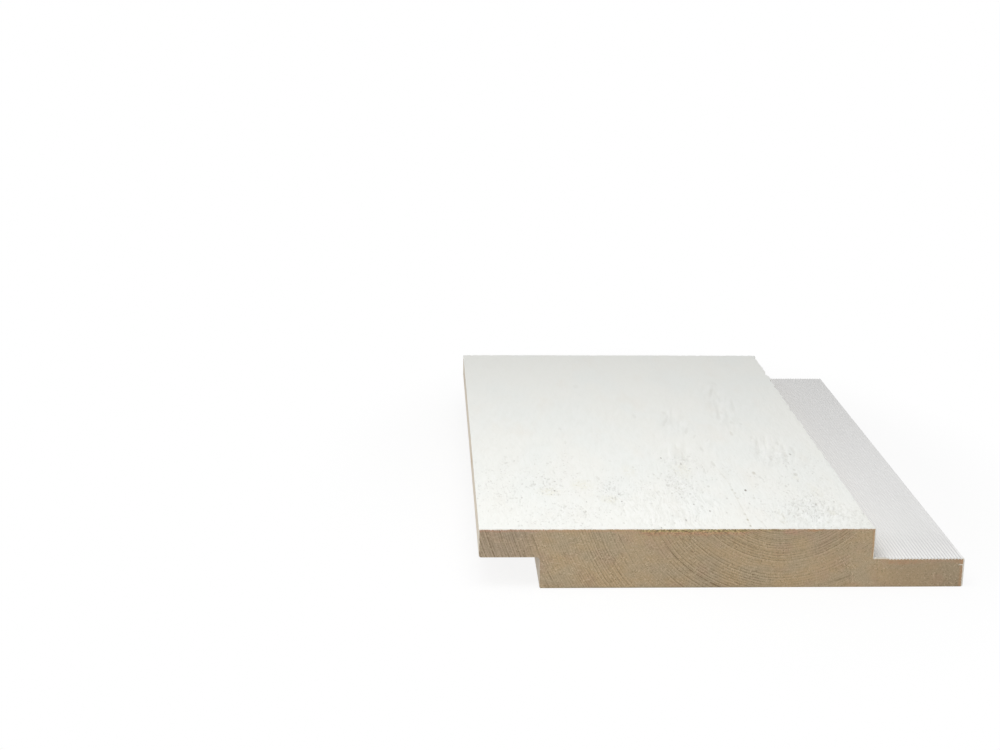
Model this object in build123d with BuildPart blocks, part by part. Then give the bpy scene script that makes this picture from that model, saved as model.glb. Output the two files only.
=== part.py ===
"""Rebated cladding board: a short length of primed softwood board that laps its neighbours.

One piece of timber, lying face up. The upper tongue along the left edge covers the next
board's lip, and the board's own ribbed lip along the right edge takes the next tongue.

Frame, in millimetres: X across the board, Y along it, Z up through its thickness. The
origin is the middle of the back, halfway along and halfway across the full width.
"""

import os

from build123d import *

# The stock that the section is cut from
board_length = 200.0
board_width = 148.0
board_thickness = 19.0

# Upper tongue: the part of the face that overhangs the rebate in the back
tongue_width = 18.5
tongue_thickness = 9.0

# Lower lip: what is left under the rebate in the face
lip_width = 28.0
lip_thickness = 9.2

# Ribs that the ridged cutter leaves along the lip, as vee grooves between flat crests
rib_pitch = 1.0
rib_depth = 0.25
rib_crest = 0.3
rib_border = 0.6

# Corners of the section, as the cutters leave them
tongue_nose_radius = 0.8
rebate_root_radius = 1.1
back_arris_radius = 0.4
lip_arris_radius = 0.5
face_arris_radius = 0.25

# Lines of the section
left_edge = -board_width / 2
right_edge = board_width / 2
back_edge = left_edge + tongue_width
step_wall = right_edge - lip_width
tongue_underside = board_thickness - tongue_thickness


def section_corners():
    """Gives each corner of the section with its radius, from the tongue's top, clockwise."""
    return [
        ((left_edge, board_thickness), face_arris_radius),
        ((step_wall, board_thickness), face_arris_radius),
        ((step_wall, lip_thickness), 0),
        ((right_edge, lip_thickness), lip_arris_radius),
        ((right_edge, 0), lip_arris_radius),
        ((back_edge, 0), back_arris_radius),
        ((back_edge, tongue_underside), rebate_root_radius),
        ((left_edge, tongue_underside), tongue_nose_radius),
    ]


def rib_groove():
    """Cuts one vee groove out of the section, its mouth level with the lip's crests."""
    half_mouth = (rib_pitch - rib_crest) / 2
    Polygon((-half_mouth, 0), (0, -rib_depth), (half_mouth, 0), align=None, mode=Mode.SUBTRACT)


# The lip's grooves stand as close as their pitch allows between the two plain borders
groove_room = lip_width - 2 * rib_border + rib_crest
groove_count = int(groove_room / rib_pitch)
lip_middle = (step_wall + right_edge) / 2

with BuildPart() as cladding_board:
    with BuildSketch(Plane.XZ) as section:
        with BuildLine():
            corners, radii = zip(*section_corners())
            FilletPolyline(*corners, radius=radii, close=True)
        make_face()
        with Locations((lip_middle, lip_thickness)):
            with GridLocations(rib_pitch, 0, groove_count, 1):
                rib_groove()
    extrude(amount=board_length / 2, both=True)

cladding_board.part.label = "cladding_board"

os.makedirs("parts", exist_ok=True)
export_step(cladding_board.part, "parts/cladding_board.step")

print("grooves in the lip:", groove_count)
print("volume in cubic millimetres:", round(cladding_board.part.volume))
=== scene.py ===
"""Rebated cladding board, dressed for its picture.

One short length of softwood board lies face up on a pale floor. Its face is fine-sawn and
primed white, its lip is ribbed and primed, and its two cut ends and its back are bare wood.
The board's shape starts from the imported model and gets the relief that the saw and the
cutters leave. Lengths are in metres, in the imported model's own frame: X across the board,
Y along it, Z out of its face.
"""

from __future__ import annotations

import logging
import math
from collections.abc import Callable, Iterable
from dataclasses import dataclass
from enum import Enum
from functools import reduce
from typing import Any

import bpy
from mathutils import Matrix, Vector


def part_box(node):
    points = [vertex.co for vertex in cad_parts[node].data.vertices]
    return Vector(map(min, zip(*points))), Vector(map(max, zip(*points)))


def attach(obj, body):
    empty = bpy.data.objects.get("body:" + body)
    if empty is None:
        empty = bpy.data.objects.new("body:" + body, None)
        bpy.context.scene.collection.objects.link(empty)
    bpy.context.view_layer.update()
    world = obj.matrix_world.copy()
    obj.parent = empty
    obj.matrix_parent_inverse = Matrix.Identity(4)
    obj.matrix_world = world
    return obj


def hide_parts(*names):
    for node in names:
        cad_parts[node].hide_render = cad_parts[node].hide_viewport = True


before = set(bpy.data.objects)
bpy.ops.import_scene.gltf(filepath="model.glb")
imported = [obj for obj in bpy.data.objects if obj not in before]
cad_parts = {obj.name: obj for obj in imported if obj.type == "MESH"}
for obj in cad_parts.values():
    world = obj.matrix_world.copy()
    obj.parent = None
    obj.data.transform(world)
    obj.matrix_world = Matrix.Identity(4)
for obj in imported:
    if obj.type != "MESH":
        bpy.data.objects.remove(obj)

MM = 0.001
BODY = "root"
NODE = "cladding_board"

Colour = tuple[float, float, float]
Cell = tuple[float, float, float]

log = logging.getLogger("cladding_board")


class Surface(Enum):
    """The finishes that the board wears, in the order of its material slots."""

    SAWN_FACE = 0
    RIBBED_LIP = 1
    PLANED_EDGE = 2
    BARE_WOOD = 3


class Value:
    """A number or a vector in a node tree, on which Python's operators add nodes."""

    def __init__(self, graph: Graph, socket: bpy.types.NodeSocket) -> None:
        """Wraps a socket.

        Args:
            graph: The graph that the socket's node stands in.
            socket: The output socket to wrap.
        """
        self.graph = graph
        self.socket = socket

    def _math(self, operation: str, *numbers: Value | float) -> Value:
        """Adds one Math node.

        Args:
            operation: The node's operation.
            numbers: All its inputs, in order.

        Returns:
            The node's result.
        """
        settings = {"operation": operation}
        return self.graph.value("ShaderNodeMath", settings, dict(enumerate(numbers)))

    def __add__(self, other: Value | float) -> Value:
        """Adds."""
        return self._math("ADD", self, other)

    def __radd__(self, other: float) -> Value:
        """Adds, with the number first."""
        return self._math("ADD", other, self)

    def __sub__(self, other: Value | float) -> Value:
        """Subtracts."""
        return self._math("SUBTRACT", self, other)

    def __rsub__(self, other: float) -> Value:
        """Subtracts, with the number first."""
        return self._math("SUBTRACT", other, self)

    def __mul__(self, other: Value | float) -> Value:
        """Multiplies."""
        return self._math("MULTIPLY", self, other)

    def __rmul__(self, other: float) -> Value:
        """Multiplies, with the number first."""
        return self._math("MULTIPLY", other, self)

    def __truediv__(self, other: Value | float) -> Value:
        """Divides."""
        return self._math("DIVIDE", self, other)

    def __pow__(self, other: Value | float) -> Value:
        """Raises to a power."""
        return self._math("POWER", self, other)

    def __neg__(self) -> Value:
        """Turns the sign."""
        return self._math("MULTIPLY", self, -1.0)

    def least(self, other: Value | float) -> Value:
        """The smaller of two."""
        return self._math("MINIMUM", self, other)

    def most(self, other: Value | float) -> Value:
        """The larger of two."""
        return self._math("MAXIMUM", self, other)

    def size(self) -> Value:
        """The value without its sign."""
        return self._math("ABSOLUTE", self)

    def floor(self) -> Value:
        """The whole number at or below the value."""
        return self._math("FLOOR", self)

    def fraction(self) -> Value:
        """What is left over the whole number below."""
        return self._math("FRACT", self)

    def root(self) -> Value:
        """The square root."""
        return self._math("SQRT", self)

    def angle(self, other: Value) -> Value:
        """The angle whose tangent is this value over another, in radians."""
        return self._math("ARCTAN2", self, other)

    def ramp(self, start: Value | float, end: Value | float) -> Value:
        """Rises smoothly from 0 to 1.

        Args:
            start: Where the result is still 0. It may lie above end, for a falling ramp.
            end: Where the result has reached 1.

        Returns:
            The ramped value, which stays between 0 and 1.
        """
        # A smooth step stays within 0 and 1 by itself, and a clamp would only add a node
        settings = {"interpolation_type": "SMOOTHSTEP", "clamp": False}
        inputs = {"Value": self, "From Min": start, "From Max": end}
        return self.graph.value("ShaderNodeMapRange", settings, inputs)

    def band(self, middle: float, half: float, edge: float) -> Value:
        """A plateau of 1 that falls smoothly to 0 on both sides.

        Args:
            middle: The plateau's middle.
            half: Half its width, halfway down its edges.
            edge: How wide each edge is.

        Returns:
            The plateau.
        """
        return (self - middle).size().ramp(half + edge / 2, half - edge / 2)

    def chance(self) -> Value:
        """An even chance from 0 to 1, the same for the same number."""
        settings = {"noise_dimensions": "1D"}
        return self.graph.value("ShaderNodeTexWhiteNoise", settings, {"W": self})

    def split(self) -> tuple[Value, Value, Value]:
        """The three parts of a vector."""
        x, y, z = self.graph.node("ShaderNodeSeparateXYZ", None, {0: self}).outputs
        return Value(self.graph, x), Value(self.graph, y), Value(self.graph, z)

    def placed(self, scale: Cell, shift: Cell) -> Value:
        """A vector, scaled and then shifted."""
        settings = {"operation": "MULTIPLY_ADD"}
        return self.graph.value("ShaderNodeVectorMath", settings, {0: self, 1: scale, 2: shift})

    def cells(self, cell: Cell, offset: float) -> Value:
        """Counts a place in a pattern's cells.

        Args:
            cell: The cell's size along each axis, in millimetres. 0 leaves that axis out.
            offset: Moves the pattern, so that two patterns of one size differ.

        Returns:
            The place in cells.
        """
        scale = tuple(1 / (size * MM) if size else 0.0 for size in cell)
        return self.placed(scale, (offset, offset * 1.7, offset * 0.6))

    def noise(self, cell: Cell, detail: float, roughness: float, offset: float) -> Value:
        """Soft noise over a place, from 0 to 1 with 0.5 in the middle.

        Args:
            cell: The size of the noise's lumps along each axis, in millimetres.
            detail: How many finer layers it has.
            roughness: How strong the finer layers are.
            offset: Moves the pattern.

        Returns:
            The noise.
        """
        place = self.cells(cell, offset)
        inputs = {"Vector": place, "Scale": 1.0, "Detail": detail, "Roughness": roughness}
        return self.graph.value("ShaderNodeTexNoise", None, inputs)

    def spots(self, cell: Cell, offset: float) -> tuple[Value, Value, Value]:
        """Scatters spots over a place, one to a cell.

        Args:
            cell: The cell's size in millimetres, which also gives the spots their shape.
            offset: Moves the pattern.

        Returns:
            The distance from the nearest spot's middle, in cells, and two chances from 0
            to 1 that each spot has for itself.
        """
        settings = {"voronoi_dimensions": "2D", "feature": "F1"}
        inputs = {"Vector": self.cells(cell, offset), "Scale": 1.0, "Randomness": 1.0}
        node = self.graph.node("ShaderNodeTexVoronoi", settings, inputs)
        first, second, _ = Value(self.graph, node.outputs["Color"]).split()
        return Value(self.graph, node.outputs["Distance"]), first, second

    def ellipse(self, middle: tuple[float, float], half: tuple[float, float]) -> Value:
        """The distance of a place from an upright ellipse's middle across the face.

        Args:
            middle: The ellipse's middle, across and along the board.
            half: Its two half widths.

        Returns:
            0 in the middle, 1 on the ellipse, and more outside.
        """
        scale = (1 / half[0], 1 / half[1], 0.0)
        placed = self.placed(scale, (-middle[0] / half[0], -middle[1] / half[1], 0.0))
        return self.graph.value("ShaderNodeVectorMath", {"operation": "LENGTH"}, {0: placed}, 1)

    def bump(self, distance: float, strength: float) -> Value:
        """The normal of a surface with this value as its height.

        Args:
            distance: What a height of 1 is in metres.
            strength: How much of the bump is used.

        Returns:
            The normal.
        """
        inputs = {"Height": self, "Distance": distance, "Strength": strength}
        return self.graph.value("ShaderNodeBump", None, inputs)


class Graph:
    """A node tree that is filled node by node. It serves materials and shapes alike."""

    def __init__(self, tree: bpy.types.NodeTree) -> None:
        """Takes a tree and empties it."""
        self.tree = tree
        tree.nodes.clear()

    def node(
        self,
        kind: str,
        settings: dict[str, Any] | None = None,
        inputs: dict[str | int, Any] | None = None,
    ) -> bpy.types.Node:
        """Adds a node.

        Args:
            kind: The node's type name.
            settings: The node's own properties, set before its inputs.
            inputs: Sockets by name or number, each with a value, a Value or a socket.

        Returns:
            The new node.
        """
        made = self.tree.nodes.new(kind)
        for name, setting in (settings or {}).items():
            setattr(made, name, setting)
        for name, given in (inputs or {}).items():
            socket = made.inputs[name]
            if isinstance(given, Value):
                self.tree.links.new(given.socket, socket)
            elif isinstance(given, bpy.types.NodeSocket):
                self.tree.links.new(given, socket)
            else:
                socket.default_value = given
        return made

    def value(
        self,
        kind: str,
        settings: dict[str, Any] | None = None,
        inputs: dict[str | int, Any] | None = None,
        output: str | int = 0,
    ) -> Value:
        """Adds a node and wraps one of its outputs.

        Args:
            kind: The node's type name.
            settings: As in node.
            inputs: As in node.
            output: The output's name or number.

        Returns:
            The wrapped output.
        """
        return Value(self, self.node(kind, settings, inputs).outputs[output])


def joined(x: Value | float, y: Value | float, z: Value | float = 0.0) -> Value:
    """A vector from its three parts, of which at least one is a Value."""
    graph = next(part.graph for part in (x, y, z) if isinstance(part, Value))
    return graph.value("ShaderNodeCombineXYZ", None, {0: x, 1: y, 2: z})


def mixed(share: Value, first: Colour | Value, second: Colour | Value) -> Value:
    """Mixes two colours.

    Args:
        share: How much of the second colour there is.
        first: A colour as three numbers, or a Value.
        second: The same.

    Returns:
        The mixed colour.
    """
    colours = [c if isinstance(c, Value) else (*c, 1.0) for c in (first, second)]
    inputs = {"Factor": share, 6: colours[0], 7: colours[1]}
    return share.graph.value("ShaderNodeMix", {"data_type": "RGBA"}, inputs, 2)


def strongest(values: Iterable[Value]) -> Value:
    """The largest of several values at each place."""
    return reduce(Value.most, values)


@dataclass(frozen=True)
class Section:
    """The board's cross section and ends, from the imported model's box.

    Args:
        low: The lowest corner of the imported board.
        high: Its highest corner.
        tongue_width: How far the upper tongue stands over the rebate in the back.
        tongue_thickness: The tongue's thickness.
        lip_width: How far the lower lip stands out past the step.
        lip_thickness: The lip's thickness, at the crests of its ribs.
        rib_pitch: The distance between two ribs of the lip.
        rib_depth: The depth of the grooves between them.
        rib_crest: The width of a rib's flat crest.
    """

    low: Vector
    high: Vector
    tongue_width: float = 18.5 * MM
    tongue_thickness: float = 9.0 * MM
    lip_width: float = 28.0 * MM
    lip_thickness: float = 9.2 * MM
    rib_pitch: float = 1.0 * MM
    rib_depth: float = 0.25 * MM
    rib_crest: float = 0.3 * MM

    @property
    def step(self) -> float:
        """Where the step's wall stands between the face and the lip."""
        return self.high.x - self.lip_width

    @property
    def back_edge(self) -> float:
        """Where the back begins, at the wall of the rebate under the tongue."""
        return self.low.x + self.tongue_width

    @property
    def underside(self) -> float:
        """The height of the tongue's underside."""
        return self.high.z - self.tongue_thickness

    @property
    def lip_top(self) -> float:
        """The height of the lip's rib crests."""
        return self.low.z + self.lip_thickness


@dataclass(frozen=True)
class GrowthRings:
    """The tree's rings as they run through the board.

    Args:
        pith_across: The pith's place across the board.
        pith_height: Its height at the near end.
        pith_rise: How much it rises for each metre towards the far end.
        ring_width: The usual width of a ring.
        wander: How far a ring strays from its circle.
        lift: How much higher the rings on the left seem to close, for each metre squared.
        lift_start: Where across the board that starts.
        near_end: Where the near end is, along the board.
        grain_radius: The distance from the pith at which the grain has its true width.
        strong: Radius, in millimetres, and strength of the rings that stand out.
    """

    pith_across: float = 18.0 * MM
    pith_height: float = 40.0 * MM
    pith_rise: float = 0.025
    ring_width: float = 0.84 * MM
    wander: float = 0.55 * MM
    lift: float = 3.6
    lift_start: float = -20.0 * MM
    near_end: float = -100.0 * MM
    grain_radius: float = 55.0 * MM
    strong: tuple[tuple[float, float], ...] = (
        (96.6, 0.5), (95.5, 0.9), (94.7, 0.5), (92.9, 0.4), (91.2, 1), (89.6, 0.4), (87.3, 0.8),
        (85.9, 0.5), (83.3, 0.5), (81.1, 0.8), (62.4, 0.6), (60.7, 0.8), (57.2, 0.6), (49.4, 0.2),
        (44, 1), (39.4, 0.4), (38.6, 0.45), (30.6, 0.55), (29.6, 0.65), (28.6, 0.65), (24.6, 0.6),
    )

    def polar(self, place: Value) -> tuple[Value, Value]:
        """The distance from the pith, with the rings' wander in it, and the bearing.

        Args:
            place: The place in the board.

        Returns:
            The distance in metres, and the angle from straight below, in radians.
        """
        x, y, z = place.split()
        across = x - self.pith_across
        far_left = (self.lift_start - x).most(0.0)
        lifted = far_left * far_left * self.lift
        below = (y - self.near_end) * self.pith_rise + self.pith_height + lifted - z
        circle = (across * across + below * below).root()
        broad = place.noise((26, 150, 26), 1.0, 0.5, 3.1)
        fine = place.noise((5, 50, 5), 3.0, 0.55, 8.4)
        stray = (broad - 0.5) * (2.0 * self.wander) + (fine - 0.5) * (0.7 * self.wander)
        return circle + stray, across.angle(below)

    def latewood(self, radius: Value) -> tuple[Value, Value]:
        """The dark line that closes each ring, and the pale one that opens the next.

        Args:
            radius: The distance from the pith.

        Returns:
            How dark the place is, from 0 to 1 in a strong line, and how pale.
        """
        drift = joined(radius, 0.0).noise((6, 0, 0), 1.0, 0.5, 5.0)
        count = radius / self.ring_width + (drift - 0.5) * 4.0
        part = count.fraction()
        # A ring darkens slowly over its second half and ends sharply
        lines = part.ramp(0.52, 0.84) * part.ramp(1.0, 0.92)
        strength = count.floor().chance() ** 1.4 * 0.60 + 0.26
        pale = part.band(0.16, 0.14, 0.16) * (count.floor() - 1.0).chance() ** 1.4
        lines = lines * strength
        for middle, darkness in self.strong:
            offset = (radius - middle * MM).size()
            lines = lines.most(offset.ramp(0.25 * MM, 0.05 * MM) * darkness)
        return lines, pale


@dataclass(frozen=True)
class Mark:
    """One mark on the face that stands out.

    Args:
        across: Its place across the board, in millimetres.
        along: Its place along the board.
        width: Its full width.
        length: Its full length.
        strength: How dark it is, from 0 to 1.
        lean: How far it leans to the right for each millimetre of its length.
    """

    across: float
    along: float
    width: float
    length: float
    strength: float
    lean: float = 0.0

    def reach(self, place: Value) -> Value:
        """How far a place lies from the mark's middle, by the mark's own size.

        Args:
            place: The place on the board.

        Returns:
            0 in the mark's middle, 1 on its rim, and more outside.
        """
        half = (self.width * MM / 2, self.length * MM / 2)
        if self.lean:
            x, y, _ = place.split()
            place = joined(x - (y - self.along * MM) * self.lean, y)
        return place.ellipse((self.across * MM, self.along * MM), half)


@dataclass(frozen=True)
class Hairline:
    """A fine open line that follows the grain.

    Args:
        across: Its place across the board at its near end, in millimetres.
        bend: How far it leans to the left at its far end.
        near: Where its near end is, along the board.
        turn: Where it fades and starts to lean.
        far: Where its far end is.
        strength: How dark it is at the near end, from 0 to 1.
    """

    across: float
    bend: float
    near: float
    turn: float
    far: float
    strength: float

    def trace(self, place: Value) -> Value:
        """Draws the line, broken and uneven along its length.

        Args:
            place: The place on the board.

        Returns:
            How open the line is there, from 0 to 1.
        """
        x, y, _ = place.split()
        lean = y.ramp(self.turn * MM, self.far * MM) * (self.bend * MM)
        sway = joined(0.0, y).noise((0, 9, 0), 2.0, 0.5, 64.0)
        offset = x - self.across * MM + lean + (sway - 0.5) * (1.1 * MM)
        broken = place.noise((40, 2.2, 0), 3.0, 0.7, 66.0)
        fade = y.ramp(self.far * MM, (self.far - 8) * MM)
        fade = fade * y.ramp((self.near - 3) * MM, (self.near + 1) * MM)
        width = offset.size().ramp(0.36 * MM, 0.05 * MM)
        return width * fade * (broken.ramp(0.32, 0.66) * 0.75 + 0.25) * self.strength


def marks(*rows: tuple[float, ...]) -> tuple[Mark, ...]:
    """Marks from rows of numbers, each in the order of a mark's sizes."""
    return tuple(Mark(*row) for row in rows)


def covered(place: Value, group: Iterable[Mark], rim: float, core: float) -> Value:
    """How strongly a place lies inside any of several marks.

    Args:
        place: The place on the board.
        group: The marks.
        rim: The reach at which a mark has faded out.
        core: The reach at which it has its full strength.

    Returns:
        The largest of the marks' strengths there.
    """
    return strongest(m.reach(place).ramp(rim, core) * m.strength for m in group)


def ragged(place: Value, group: Iterable[Mark], rim: Value) -> Value:
    """How strongly a place lies inside any of several marks with uneven rims.

    Args:
        place: The place on the face.
        group: The marks.
        rim: A noise that makes their rims uneven.

    Returns:
        The largest of the marks' strengths there.
    """
    uneven = (rim - 0.5) * 0.9
    return strongest((m.reach(place) + uneven).ramp(1.0, 0.3) * m.strength for m in group)


@dataclass(frozen=True)
class SawnFace:
    """What the fine saw leaves on the face: fibres, pits, torn grain and pinholes.

    Args:
        fibre_depth: How deep the furrows between the fibres are.
        pit_depth: How deep a small pit is.
        tear_depth: How deep the torn grain is.
        stroke_depth: How deep the long, soft strokes are.
        dimple_depth: How deep the dimples and pocks are.
        mottle_depth: How deep the thin, yellowish primer lies.
        tear_lean: How far the torn fibres lean to the right along the board.
        stroke_lean: The same for the long strokes.
        cut_lean: How far the crossing cuts lean to the left.
        fibre_places: Where the fibres stand up most.
        torn_places: Where the grain is torn in short strokes.
        drawn_places: Where it is torn in long, soft strokes.
        crossed_places: Where the fibres are crossed by fine slanting cuts.
        crowded_places: Where the pits and pinholes crowd.
        yellow_places: Where the primer lies thin and yellowish.
        holes: The larger holes.
        dimples: The soft dimples that the primer fills.
        resin: The olive spots of resin.
        pocks: The small pits that show by themselves: across, along and strength.
        pock_size: A pock's width and length, in millimetres.
        hairlines: The fine open lines.
    """

    fibre_depth: float = 0.10 * MM
    pit_depth: float = 0.14 * MM
    tear_depth: float = 0.26 * MM
    stroke_depth: float = 0.16 * MM
    dimple_depth: float = 0.24 * MM
    mottle_depth: float = 0.14 * MM
    tear_lean: float = 0.36
    stroke_lean: float = 0.14
    cut_lean: float = 0.55
    fibre_places: tuple[Mark, ...] = marks(
        (-14, -82, 50, 66, 0.85), (-65, -78, 20, 60, 0.4), (-44, -84, 36, 50, 0.4),
        (20, -90, 30, 40, 0.6),
    )
    torn_places: tuple[Mark, ...] = marks(
        (32, -88, 26, 40, 0.9), (21, -90, 8, 18, 0.8), (30, -30, 18, 20, 0.45),
        (-6, -36, 14, 20, 0.6), (-8, -58, 14, 26, 0.5), (36, -62, 14, 44, 0.3),
    )
    drawn_places: tuple[Mark, ...] = marks(
        (29, -24, 20, 44, 1), (-4, -28, 14, 40, 0.9), (20, 28, 14, 80, 0.8), (0, 10, 14, 50, 0.7),
        (8, -20, 10, 34, 0.5), (-28, 10, 50, 60, 0.25),
    )
    crossed_places: tuple[Mark, ...] = marks(
        (43.5, -92, 10, 24, 1), (-66, -75, 10, 30, 0.35),
    )
    crowded_places: tuple[Mark, ...] = marks(
        (-51, -61, 18, 32, 1), (-31, -66, 16, 40, 1), (-64, -68, 14, 30, 0.8),
        (-8, -60, 16, 40, 1), (30, -78, 26, 44, 0.8), (-46, -86, 36, 26, 0.8),
        (-2, -34, 18, 24, 0.8), (30, -30, 20, 40, 0.7),
    )
    yellow_places: tuple[Mark, ...] = marks(
        (-51, -66.5, 9, 10, 1), (-32, -73.5, 7, 10, 1), (-40, -60, 8, 12, 0.9),
        (-23, -46, 7, 16, 0.5), (19, -90, 4, 20, 0.6), (-5, -46, 9, 20, 0.6),
        (35, -66, 5, 20, 0.5), (36, -86, 3, 6, 0.8), (31.5, -53, 3, 5, 0.7),
    )
    holes: tuple[Mark, ...] = marks(
        (12.5, -65.5, 1, 2.4, 0.85), (-48.8, -65.4, 0.9, 1.8, 0.55), (-50, -69, 0.8, 1.8, 0.35),
        (-28.6, -69, 0.8, 2, 0.45), (-28.4, -75.7, 0.8, 1.6, 0.55), (-31, -72.3, 1, 1.8, 0.30),
        (-39.5, -76, 0.6, 2, 0.35), (-59.6, -72, 0.7, 2.6, 0.30), (-48, -56.6, 0.8, 1.6, 0.30),
        (-6.1, -78.5, 0.8, 1.8, 0.45), (-5.8, -68.7, 0.8, 1.8, 0.35), (-9.1, -69, 0.8, 1.8, 0.30),
        (-2, -84.6, 0.8, 2.8, 0.45), (-10.6, -92.4, 0.7, 2.8, 0.50),
        (-10.4, -32.8, 0.8, 2.8, 0.40), (-4.5, -38.8, 0.9, 3, 0.35), (34.4, -28.6, 0.9, 2.8, 0.40),
        (-19, -99, 0.7, 2, 0.5),
    )
    dimples: tuple[Mark, ...] = marks(
        (32, -49.7, 1.8, 4, 1), (32.4, -45, 1.4, 2.6, 0.7), (19.6, -52.3, 1.5, 4, 0.6),
        (17.2, -59.6, 2, 3.4, 0.5), (15.8, -78.3, 3, 1.9, 0.5), (13.9, -72.5, 1.1, 2.4, 0.8),
        (15.3, -73.2, 1, 1.8, 0.5), (26.4, -61.4, 1.1, 2.6, 0.8), (1.2, -61.4, 1.3, 2.6, 0.8),
        (11, -45.3, 1.1, 3.4, 0.4), (-33.6, -53.5, 1.2, 3.8, 0.7), (-14.2, -53.5, 1, 3, 0.6),
        (-7.2, -59.2, 1.2, 2.6, 0.6), (-10.2, -59.4, 1, 2.8, 0.5), (22.4, -86.5, 1, 6, 0.7, 0.36),
        (27, -84, 1, 3, 0.5), (28.8, -79.6, 1, 3.2, 0.5, 0.3), (26.4, -92.6, 1, 4, 0.5),
        (33, -84.2, 1, 3, 0.6), (35.4, -84.2, 1.8, 2.4, 0.7), (34.4, -78.6, 1, 2, 0.5),
        (-29.8, -87, 0.7, 5, 0.6, 0.2), (-40.9, -89, 0.7, 5, 0.5, 0.2),
        (-44.2, -94.3, 1.6, 1.8, 0.5), (-48, -83.6, 1, 2, 0.5), (-57, -86, 0.9, 2, 0.5),
        (2.6, -2.5, 1.9, 9, 0.5, 0.2), (5, -22, 1.7, 11, 0.5), (6.4, -39, 1.7, 7, 0.6, -0.1),
        (-2.6, -31, 1.2, 20, 0.35), (-3.4, 9, 2, 19, 0.35, 0.25), (24.8, -20, 1.9, 24, 0.40, 0.16),
        (27, -33, 1.8, 8, 0.45), (32.8, -30, 2, 4, 0.45), (36.2, -24, 1.6, 10, 0.40),
        (19.4, 47, 2.1, 27, 0.38, 0.22), (17.2, 17, 2.2, 20, 0.34, 0.12),
        (24.5, 28, 1.7, 30, 0.26, 0.1), (-13.8, 15, 1.8, 7, 0.3), (-42, 0, 1.8, 5, 0.35),
        (-48, -37, 1.3, 3.4, 0.5), (-62.6, -31.5, 1.3, 3.6, 0.4), (-31.8, 54, 2.6, 7, 0.22),
        (36.3, -42.7, 1.3, 3.4, 0.35), (38.3, -47.2, 1.3, 3.2, 0.35),
        (39.6, -53.4, 1.4, 3.4, 0.40), (40.3, -63.3, 1.3, 2.8, 0.35), (-60.3, -36, 1.3, 3, 0.40),
        (-41.3, -14.9, 1.5, 4, 0.30), (-28, -35.5, 1.3, 3.2, 0.30), (-40.3, -31.4, 1.3, 3.2, 0.28),
        (22.2, 58, 3, 10, 0.22), (18.3, 19.8, 3, 7, 0.24), (-2.4, 19.7, 2.2, 6, 0.26),
        (20.6, 7.4, 1.8, 5, 0.26), (23.7, 5.9, 2, 4, 0.26), (4.6, -8.8, 1.4, 7, 0.32, 0.3),
        (8.5, -13.1, 1.4, 6, 0.30, 0.3), (24.8, -10.3, 1.8, 6, 0.30), (32.3, -16, 1.7, 5, 0.38),
    )
    resin: tuple[Mark, ...] = marks(
        (18.3, -48.5, 1.6, 4.4, 0.42), (18.2, -5.5, 1.4, 7, 0.20), (8.2, -97.6, 0.8, 2.2, 0.62),
        (8.3, -92.4, 0.9, 2.8, 0.58), (8.3, -87.4, 1.2, 2.6, 0.22), (8.8, -72.8, 1, 2.2, 0.20),
        (8.7, -68, 1, 2.6, 0.26), (8.1, -65.2, 0.9, 2.6, 0.24), (19.8, -89.5, 1.1, 3.4, 0.26),
        (18.8, -95, 1.1, 4.4, 0.22), (32.6, -94.5, 1.2, 3, 0.22),
    )
    pock_size: tuple[float, float] = (0.85, 2.3)
    pocks: tuple[tuple[float, float, float], ...] = (
        (-66.6, -70.2, 0.55), (-60, -79.2, 0.40), (-64.8, -52.5, 0.35), (-53.8, -52.5, 0.60),
        (-50.2, -54.6, 0.60), (-41.8, -53.2, 0.55), (-53.2, -62.8, 0.40), (-37.8, -64.8, 0.40),
        (-41.4, -67, 0.35), (-32.8, -63.2, 0.45), (-30.2, -71.8, 0.70), (-28.6, -83.6, 0.55),
        (-28.2, -79, 0.40), (-48.3, -79.5, 0.45), (-51, -82.2, 0.40), (-63.6, -83.4, 0.40),
        (-41.2, -82, 0.40), (-37.6, -90, 0.50), (-33.2, -91, 0.55), (-29.9, -94.8, 0.75),
        (-61, -96.6, 0.70), (-48.6, -88, 0.45), (-69, -95, 0.50), (-14.4, -95, 0.60),
        (-7.8, -93, 0.60), (-5.6, -86.4, 0.50), (-15.5, -66.4, 0.45), (-17.2, -57.6, 0.45),
        (-8.6, -62.8, 0.55), (-5.8, -59.6, 0.60), (-4.4, -64, 0.55), (-3.8, -80.2, 0.60),
        (5.3, -72.8, 0.55), (5.6, -78.2, 0.45), (1, -74.2, 0.45), (-9.7, -46.4, 0.50),
        (-10.8, -51.5, 0.50), (-21, -42.2, 0.55), (-3, -45.6, 0.50), (12.3, -94, 0.45),
        (20.8, -63.2, 0.40), (36, -64.6, 0.40), (20.1, -57.2, 0.35), (21.5, -68.3, 0.30),
        (27.1, -51.7, 0.40), (28.9, -51.7, 0.35), (28.3, -70.6, 0.50), (26.5, -73.2, 0.50),
        (28.7, -76.8, 0.45), (29.6, -80.9, 0.45), (33.5, -89.4, 0.45), (-5.6, -36.8, 0.45),
        (-8.6, -79.7, 0.30), (3.8, -68.4, 0.30), (1.5, -34.4, 0.30), (-70, -48, 0.35),
        (-65.2, -55.2, 0.30), (-68.4, -63.3, 0.35), (-55.3, -63.9, 0.45), (-36.6, -55.9, 0.40),
        (-25.9, -65.1, 0.35), (-40.6, -84.5, 0.50), (-54.1, -80.9, 0.30), (-30.8, -59.7, 0.30),
        (-20.4, -44.8, 0.40),
    )
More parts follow.
